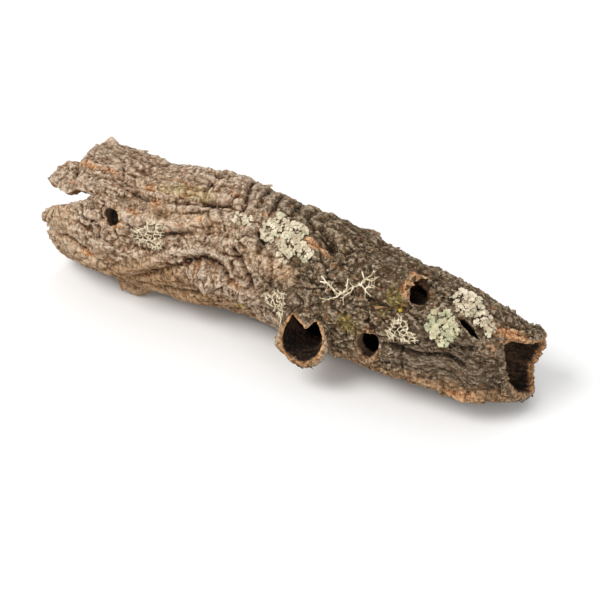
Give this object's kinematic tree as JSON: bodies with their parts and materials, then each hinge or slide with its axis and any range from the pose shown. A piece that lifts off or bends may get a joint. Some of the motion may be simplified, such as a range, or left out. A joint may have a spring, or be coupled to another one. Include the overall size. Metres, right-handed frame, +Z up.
{
  "type": "cork bark tube",
  "caption": "Hollow natural cork bark log with broken ends, a heart-shaped branch stub, knot holes and patches of lichen.",
  "frame": {"origin": "centre of the footprint box, on the surface that the log lies on", "axes": "+X along the log towards its narrow end, +Y to the back, +Z up"},
  "size_m": [0.3041, 0.0967, 0.0809],
  "materials": {
    "cork_bark": "rough, matt, fissured",
    "leafy_lichen": "matt, pale grey-green",
    "shrubby_lichen": "matt, pale cream"
  },
  "bodies": {
    "root": {"bark_tube": "cork_bark", "leafy_lichen_middle": "leafy_lichen", "leafy_lichen_lower": "leafy_lichen", "leafy_lichen_upper": "leafy_lichen", "crust_lichen": "leafy_lichen", "twig_lichen_left": "shrubby_lichen", "twig_lichen_stub": "shrubby_lichen", "twig_lichen_sprig": "shrubby_lichen", "twig_lichen_right": "shrubby_lichen"}
  },
  "joints": []
}
